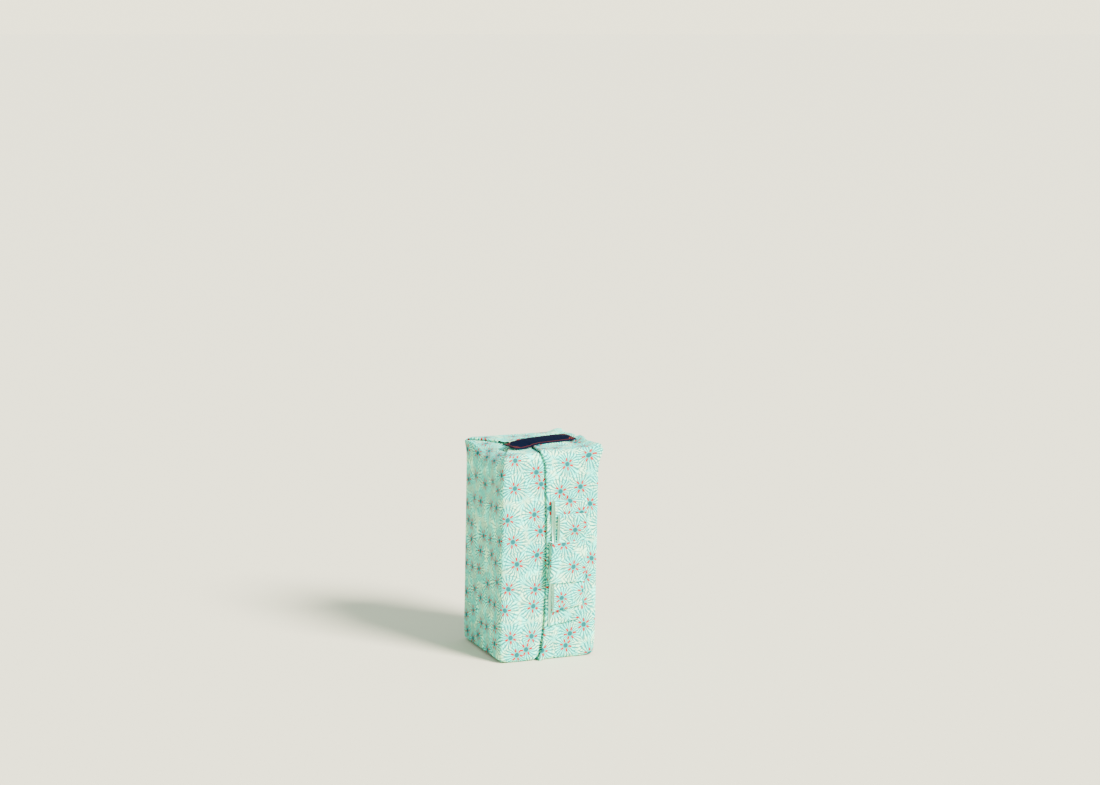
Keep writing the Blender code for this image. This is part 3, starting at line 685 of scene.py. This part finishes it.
def woven_label():
    """The label, laid over the folds under it."""
    sheet = Sheet()
    long_way, wide_way = ([i / steps for i in range(steps + 1)] for steps in LABEL_STEPS)
    cos, sin = math.cos(LABEL["turn"]), math.sin(LABEL["turn"])
    for i, u in enumerate(long_way):
        for j, v in enumerate(wide_way):
            flat = (u * LABEL["length"], v * LABEL["width"])
            length, width = flat[0] - LABEL["length"] / 2, flat[1] - LABEL["width"] / 2
            low, high = between(LABEL_EDGES, length, 1), between(LABEL_EDGES, length, 2)
            z = low + (high - low) * v + LABEL_ARCH * 4 * v * (1 - v)
            x = LABEL["x"] + length * cos - width * sin + z * math.tan(LEAN)
            y = LABEL["y"] + length * sin + width * cos
            edge = min(LABEL["length"] / 2 - abs(length), LABEL["width"] / 2 - abs(width))
            rim = LABEL_RIM_SHARE + (1 - LABEL_RIM_SHARE) * smooth(edge / LABEL_RIM)
            half = LABEL_THICK / 2
            sheet.add((i, j), Vector((x, y, z + half * rim)), Vector((x, y, z - half)), flat)
    for i in range(len(long_way) - 1):
        for j in range(len(wide_way) - 1):
            sheet.face([(i, j), (i + 1, j), (i + 1, j + 1), (i, j + 1)])
    return sheet.piece("woven_label")


def closed_strip(name, path, spans, flat_at):
    """A closed strip: the path's points and outward directions, each spanned across by some points."""
    sheet = Sheet()
    runs = [0.0]
    for (point, _), (ahead, _) in zip(path, path[1:] + path[:1]):
        runs.append(runs[-1] + (ahead - point).length)
    for i, (point, out) in enumerate(path):
        across = spans(point)
        for j, span in enumerate(across):
            flat = (flat_at[0] + (span - across[0]).length, flat_at[1] + runs[i])
            sheet.node((i, j), lambda w, at=span, out=out: tuple(at + out * w), STRIP, THIN_STRIP, flat)
    count, wide = len(path), len(spans(path[0][0]))
    for i in range(count):
        for j in range(wide - 1):
            following = (i + 1) % count
            sheet.face([(i, j), (i, j + 1), (following, j + 1), (following, j)])
    return sheet.piece(name)


def bow_loop(name, loop, slant, flat_at):
    """A flat loop: up its back, round the top, down its front, round the bottom."""
    heights = [loop[0][0], *evenly(loop[0][0], loop[-1][0], SPACING["loop"]), loop[-1][0]]
    sides = [(h, between(loop, h, 1), between(loop, h, 2)) for h in heights]
    outline = [(h, back) for h, back, _ in sides]
    outline += end_arc(sides[-1], 1)
    outline += [(h, front) for h, _, front in reversed(sides)]
    outline += end_arc(sides[0], -1)
    points = [Vector((0, FACE - depth, height)) for height, depth in outline]
    path = []
    for i, point in enumerate(points):
        run = (points[(i + 1) % len(points)] - points[i - 1]).normalized()
        path.append((point, Vector((0, -run.z, run.y))))

    def spans(point):
        back, front = between(loop, point.z, 1), between(loop, point.z, 2)
        forward = min(max((FACE - point.y - back) / (front - back), 0.0), 1.0)
        left = between(loop, point.z, 3) * (1 - forward) + between(loop, point.z, 4) * forward
        wide = between(loop, point.z, 5) - left
        lift = slant * smooth((BAND["low"] - point.z) / SLANT_REACH)
        shares = [k / LOOP_STEPS for k in range(LOOP_STEPS + 1)]
        return [Vector((left + wide * share, point.y, point.z + lift * share)) for share in shares]

    return closed_strip(name, path, spans, flat_at)


def end_arc(side, way):
    """The round end of a loop, between its back and its front strip."""
    height, back, front = side
    if way < 0:
        back, front = front, back
    middle, radius = (back + front) / 2, (front - back) / 2
    turns = [math.pi * k / END_STEPS for k in range(1, END_STEPS)]
    return [(height + way * abs(radius) * math.sin(t), middle - radius * math.cos(t)) for t in turns]


def bow_band():
    """The band that holds both loops, as a strip round an oblong with rounded corners."""
    low = (BAND["left"] + STRIP / 2, BAND["back"])
    high = (BAND["right"] - STRIP / 2, BAND["front"])
    corners = ((high[0], low[1]), (high[0], high[1]), (low[0], high[1]), (low[0], low[1]))
    rounds = []
    for i, (x, depth) in enumerate(corners):
        cx = x - math.copysign(BAND_ROUND, x - (low[0] + high[0]) / 2)
        cd = depth - math.copysign(BAND_ROUND, depth - (low[1] + high[1]) / 2)
        for k in range(ROUND_STEPS + 1):
            turn = math.pi / 2 * (i - 1 + k / ROUND_STEPS)
            out = Vector((math.cos(turn), -math.sin(turn), 0))
            rounds.append((Vector((cx, FACE - cd, 0)) + out * BAND_ROUND, out))
    path = []
    for (point, out), (ahead, _) in zip(rounds, rounds[1:] + rounds[:1]):
        path.append((point, out))
        run = (ahead - point).length
        if run > 2 * SPACING["band"]:
            path += [(point + (ahead - point) * (s / run), out) for s in evenly(0, run, SPACING["band"])]
    tall = BAND["high"] - BAND["low"]

    def spans(point):
        ups = [tall * (k / BAND_STEPS - 0.5) for k in range(BAND_STEPS + 1)]
        return [Vector((point.x + BAND["tilt"] * up, point.y, BAND["low"] + tall / 2 + up)) for up in ups]

    return closed_strip("bow_wrap", path, spans, CUT_FROM["band"])


class Nodes:
    """Short calls for building a material's node tree."""

    def __init__(self, name):
        self.material = bpy.data.materials.new(name)
        self.material.use_nodes = True
        self.tree = self.material.node_tree
        self.shader = self.tree.nodes["Principled BSDF"]

    def add(self, kind, inputs=(), **settings):
        node = self.tree.nodes.new("ShaderNode" + kind)
        for name, value in settings.items():
            setattr(node, name, value)
        for name, value in dict(inputs).items():
            self.set(node.inputs[name], value)
        return node

    def set(self, socket, value):
        if isinstance(value, bpy.types.NodeSocket):
            self.tree.links.new(value, socket)
        else:
            socket.default_value = value

    def math(self, operation, *values):
        node = self.add("Math", operation=operation)
        for socket, value in zip(node.inputs, values):
            self.set(socket, value)
        return node.outputs[0]

    def step(self, value, low, high, start=0.0, end=1.0):
        """A soft step of the value from start, at low, to end, at high."""
        node = self.add("MapRange", interpolation_type="SMOOTHSTEP")
        names = ("Value", "From Min", "From Max", "To Min", "To Max")
        for name, given in zip(names, (value, low, high, start, end)):
            self.set(node.inputs[name], given)
        return node.outputs["Result"]

    def mix(self, share, first, second):
        node = self.add("Mix", data_type="RGBA")
        self.set(node.inputs["Factor"], share)
        colours = [socket for socket in node.inputs if socket.type == "RGBA"]
        self.set(colours[0], first)
        self.set(colours[1], second)
        return [socket for socket in node.outputs if socket.type == "RGBA"][0]

    def vector(self, operation, *values):
        node = self.add("VectorMath", operation=operation)
        for socket, value in zip(node.inputs, values):
            self.set(socket, value)
        return node.outputs[0]

    def finish(self, roughness, specular):
        """Sets how matt the surface is, and gives back its material."""
        self.set(self.shader.inputs["Roughness"], roughness)
        self.set(self.shader.inputs["Specular IOR Level"], specular)
        return self.material


# The print, in millimetres: flowers on a net of this spacing, with so many petals of this width, and
# fainter ones under them
FLOWERS = {"spacing": 22.0, "shift": (0.0, 0.0, 0.0), "count": 22, "width": 1.40}
FAINT_FLOWERS = {"spacing": 19.0, "shift": (37.3, 11.7, 0.0), "count": 18, "width": 1.00}
HEART = 2.5  # radius of a flower's middle
STAMENS = {"count": 6, "width": 1.65, "start": 2.7, "end": 6.5, "phase": 0.4}
RAY_EDGE = 0.15  # softness of a petal's sides
# Colours: bare cloth, the ground's two, washes and strokes from pale to dark, and the stamens
BARE, PALE, CREAM = (0.58, 0.98, 0.77, 1), (0.12, 1.0, 0.72, 1), (0.52, 1.0, 0.54, 1)
WASH, MINT, DEEP = (0.0, 0.58, 0.47, 1), (0.0, 0.19, 0.175, 1), (0.0, 0.16, 0.15, 1)
TURQUOISE, CORAL = (0.0, 0.095, 0.095, 1), (0.36, 0.003, 0.0, 1)


def printed_cotton(name, strength):
    """Cotton with round many-petalled flowers in mint and turquoise, each with coral stamens.

    The strength is 1 for the printed side, and the reverse has less of it.
    """
    n = Nodes(name)
    uv = n.add("UVMap", uv_map="cloth").outputs[0]
    millimetres = n.vector("MULTIPLY", uv, (1000, 1000, 1000))
    wobble = n.add("TexNoise", {"Scale": 0.11, "Detail": 2.0}, noise_dimensions="2D")
    n.set(wobble.inputs["Vector"], millimetres)
    lengths = n.add("TexNoise", {"Scale": 0.45, "Detail": 1.0}, noise_dimensions="2D")
    n.set(lengths.inputs["Vector"], millimetres)

    def flowers(spacing, shift, count, width):
        """Distance from the nearest flower's middle, its wavering direction, and its rays."""
        spots = n.vector("ADD", n.vector("MULTIPLY", millimetres, (1 / spacing, 1 / spacing, 0)), shift)
        cells = n.add("TexVoronoi", {"Scale": 1.0, "Randomness": 0.66}, voronoi_dimensions="2D", feature="F1")
        n.set(cells.inputs["Vector"], spots)
        local = n.add("SeparateXYZ")
        away = n.vector("SUBTRACT", spots, cells.outputs["Position"])
        n.set(local.inputs[0], n.vector("MULTIPLY", away, (spacing, spacing, 0)))
        x, y = local.outputs[0], local.outputs[1]
        radius = n.math("SQRT", n.math("ADD", n.math("MULTIPLY", x, x), n.math("MULTIPLY", y, y)))
        chance = n.add("SeparateColor")
        n.set(chance.inputs[0], cells.outputs["Color"])
        turn = n.math("ADD", n.math("ARCTAN2", y, x), n.math("MULTIPLY", chance.outputs[0], math.tau))
        turn = n.math("ADD", turn, n.math("MULTIPLY", n.math("SUBTRACT", wobble.outputs[0], 0.5), 0.30))
        return radius, turn, rays(radius, turn, count, width)

    def rays(radius, turn, count, width, phase=0.0):
        """1 along straight rays from the flower's middle, each of that width in millimetres."""
        wave = n.math("ABSOLUTE", n.math("SINE", n.math("ADD", n.math("MULTIPLY", turn, count / 2), phase)))
        half = n.math("MINIMUM", n.math("DIVIDE", count / 4 * width, n.math("MAXIMUM", radius, 0.5)), 0.70)
        return n.step(wave, n.math("ADD", half, RAY_EDGE), n.math("SUBTRACT", half, RAY_EDGE))

    radius, turn, petals = flowers(**FLOWERS)
    _, _, faint = flowers(**FAINT_FLOWERS)
    # The ground, with a wash round each flower's middle and the faint flowers between
    ground = n.mix(n.step(wobble.outputs[0], 0.42, 0.60), PALE, CREAM)
    ground = n.mix(n.step(radius, 11.0, 3.0, 0.0, 0.90), ground, WASH)
    ground = n.mix(n.math("MULTIPLY", faint, n.step(radius, 6.0, 10.0, 0.0, 0.75)), ground, MINT)
    # Petals of uneven lengths, the middle and the stamens
    reach = n.math("ADD", radius, n.math("MULTIPLY", lengths.outputs[0], 7.0))
    petals = n.math("MULTIPLY", petals, n.step(reach, 19.0, 15.5, 0.25, 0.95))
    colour = n.mix(petals, ground, n.mix(n.step(radius, HEART, 8.0), DEEP, MINT))
    colour = n.mix(n.step(radius, HEART, HEART - 0.4), colour, TURQUOISE)
    first, last = STAMENS["start"], STAMENS["end"]
    stamens = rays(radius, turn, STAMENS["count"], STAMENS["width"], STAMENS["phase"])
    there = n.math("MULTIPLY", n.step(radius, first, first + 0.4), n.step(radius, last, last - 0.5))
    colour = n.mix(n.math("MULTIPLY", stamens, there), colour, CORAL)
    n.set(n.shader.inputs["Base Color"], n.mix(strength, BARE, colour))
    weave_bump(n, uv, 0.00045, 0.00006)
    n.shader.inputs["Sheen Weight"].default_value = 0.03
    return n.finish(n.step(wobble.outputs[0], 0.0, 1.0, 0.78, 0.92), 0.15)


def plain_edge(name, colour):
    """A cut edge's own colour."""
    n = Nodes(name)
    n.set(n.shader.inputs["Base Color"], colour)
    return n.finish(0.85, 0.15)


def weave_bump(n, uv, thread, depth):
    """Crossing threads as a bump, over a soft unevenness."""
    parts = n.add("SeparateXYZ")
    n.set(parts.inputs[0], n.vector("MULTIPLY", uv, (math.tau / thread / 2,) * 3))
    warp = n.math("SINE", parts.outputs[0])
    weft = n.math("SINE", parts.outputs[1])
    uneven = n.add("TexNoise", {"Scale": 260.0, "Detail": 3.0})
    n.set(uneven.inputs["Vector"], uv)
    height = n.math("ADD", n.math("MULTIPLY", warp, weft), n.math("MULTIPLY", uneven.outputs[0], 1.6))
    bump = n.add("Bump", {"Strength": 0.3, "Distance": depth})
    n.set(bump.inputs["Height"], height)
    n.set(n.shader.inputs["Normal"], bump.outputs[0])


def woven_navy():
    """Navy satin-woven label: a copper border line, small quarter rings in its corners, bare middle.

    Its lengths are in millimetres.
    """
    border_inset, border_width = 1.9, 0.5
    corner_rings = ((4.6, 0.8), (2.6, 0.7))
    n = Nodes("woven_navy")
    uv = n.add("UVMap", uv_map="cloth").outputs[0]
    parts = n.add("SeparateXYZ")
    n.set(parts.inputs[0], n.vector("MULTIPLY", uv, (1000, 1000, 0)))

    def inward(along, half):
        """Distance in from the nearer of two sides."""
        return n.math("SUBTRACT", half, n.math("ABSOLUTE", n.math("SUBTRACT", along, half)))

    def line(distance, at, width):
        """1 on a line of this width, where the distance is as said."""
        off = n.math("ABSOLUTE", n.math("SUBTRACT", distance, at))
        return n.step(off, width / 2 + 0.12, width / 2 - 0.12)

    from_end = inward(parts.outputs[0], 500 * LABEL["length"])
    from_side = inward(parts.outputs[1], 500 * LABEL["width"])
    inset = n.math("MINIMUM", from_end, from_side)
    ring_off = n.math("SQRT", n.math(
        "ADD", n.math("POWER", n.math("SUBTRACT", from_end, border_inset), 2.0),
        n.math("POWER", n.math("SUBTRACT", from_side, border_inset), 2.0)))
    rings = n.math("MAXIMUM", *(line(ring_off, at, width) for at, width in corner_rings))
    rings = n.math("MULTIPLY", rings, n.step(inset, border_inset - 0.2, border_inset))
    border = line(inset, border_inset, border_width)
    threads = n.add("TexNoise", {"Scale": 900.0, "Detail": 2.0})
    n.set(threads.inputs["Vector"], uv)
    navy = n.mix(threads.outputs[0], (0.0004, 0.0012, 0.0060, 1), (0.0012, 0.0032, 0.0130, 1))
    copper = n.mix(threads.outputs[0], (0.085, 0.014, 0.007, 1), (0.15, 0.030, 0.014, 1))
    n.set(n.shader.inputs["Base Color"], n.mix(n.math("MAXIMUM", border, rings), navy, copper))
    weave_bump(n, uv, 0.00035, 0.00008)
    return n.finish(0.85, 0.03)


def floor():
    """A plain pale floor that reaches out of sight."""
    n = Nodes("pale_floor")
    grain = n.add("TexNoise", {"Scale": 6.0, "Detail": 3.0})
    colours = (0.63, 0.56, 0.40, 1), (0.66, 0.59, 0.43, 1)
    n.set(n.shader.inputs["Base Color"], n.mix(grain.outputs[0], *colours))
    n.set(n.shader.inputs["Roughness"], 0.75)
    mesh = bpy.data.meshes.new("floor")
    far = 200
    mesh.from_pydata([(-far, -far, 0), (far, -far, 0), (far, far, 0), (-far, far, 0)], [], [(0, 1, 2, 3)])
    mesh.materials.append(n.material)
    made = bpy.data.objects.new("floor", mesh)
    bpy.context.scene.collection.objects.link(made)
    return made


# The sky is as bright as the floor at the horizon, so that they meet without a line
HORIZON, HORIZON_COLOUR, SKY_COLOUR = (0.03, 0.12), (2.94, 2.76, 1.97), (1.02, 1.28, 1.28)
TO_KEY_LIGHT = (0.42, -0.74, 0.60)


def studio():
    """A broad key light from the front right, and an even sky."""
    sun = bpy.data.lights.new("key", "SUN")
    sun.energy, sun.angle, sun.color = 19.0, math.radians(20), (1.0, 0.99, 0.97)
    key = bpy.data.objects.new("key", sun)
    key.rotation_euler = Vector(TO_KEY_LIGHT).to_track_quat("Z", "Y").to_euler()
    bpy.context.scene.collection.objects.link(key)
    world = bpy.data.worlds.new("studio")
    world.use_nodes = True
    nodes, links = world.node_tree.nodes, world.node_tree.links
    background = nodes["Background"]
    place, parts = nodes.new("ShaderNodeTexCoord"), nodes.new("ShaderNodeSeparateXYZ")
    links.new(place.outputs["Generated"], parts.inputs[0])
    ramp = nodes.new("ShaderNodeValToRGB")
    links.new(parts.outputs[2], ramp.inputs[0])
    low, high = ramp.color_ramp.elements
    low.position, low.color = HORIZON[0], (*HORIZON_COLOUR, 1)
    high.position, high.color = HORIZON[1], (*SKY_COLOUR, 1)
    links.new(ramp.outputs[0], background.inputs["Color"])
    background.inputs["Strength"].default_value = 1.0
    bpy.context.scene.world = world


# The photograph's camera, fitted to the parcel's corners: its place, its directions, and its focal
# length and picture's width in pixels
CAMERA_PLACE = (-0.83456563, -2.20882876, 0.61719627)
CAMERA_RIGHT, CAMERA_UP = (0.93219787, -0.36194907, 0.0), (0.05568427, 0.14341453, 0.9880949)
FOCAL_PIXELS, PICTURE_PIXELS, SENSOR = 2500, 1100, 36


def camera():
    """The photograph's camera."""
    data = bpy.data.cameras.new("camera")
    data.lens, data.sensor_width = SENSOR * FOCAL_PIXELS / PICTURE_PIXELS, SENSOR
    data.sensor_fit = "HORIZONTAL"
    data.clip_start, data.clip_end = 0.05, 50
    made = bpy.data.objects.new("camera", data)
    right, up = Vector(CAMERA_RIGHT), Vector(CAMERA_UP)
    turned = Matrix((right, up, right.cross(up))).transposed().to_4x4()
    made.matrix_world = Matrix.Translation(CAMERA_PLACE) @ turned
    bpy.context.scene.collection.objects.link(made)
    bpy.context.scene.camera = made


camera()
studio()
ground = floor()
cotton = printed_cotton("printed_cotton", 1.0)
cotton_back = printed_cotton("cotton_reverse", 0.10)
navy = woven_navy()
cotton_edge = plain_edge("cotton_edge", (0.45, 0.95, 0.74, 1))
navy_edge = plain_edge("navy_edge", (0.002, 0.003, 0.013, 1))
cloth = folded_cloth()
label = woven_label()
long_loop = bow_loop("long_loop", LONG_LOOP, LONG_SLANT, CUT_FROM["long"])
short_loop = bow_loop("short_loop", SHORT_LOOP, SHORT_SLANT, CUT_FROM["short"])
wrap = bow_band()
# Each piece, the solid that it replaces, its slot, and the materials of its sides and edges
for piece, node, slot, materials in (
    (cloth, "wrap_cloth", "cloth", (cotton, cotton_edge, cotton_back)),
    (label, "label", "label", (navy, navy_edge, navy_edge)),
    (long_loop, "bow_long_loop", "cloth", (cotton_back, cotton_edge, cotton)),
    (short_loop, "bow_short_loop", "cloth", (cotton_back, cotton_edge, cotton)),
    (wrap, "bow_band", "cloth", (cotton, cotton_edge, cotton_back)),
):
    for material in materials:
        piece.data.materials.append(material)
    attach(piece, "root")
    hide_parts(node)
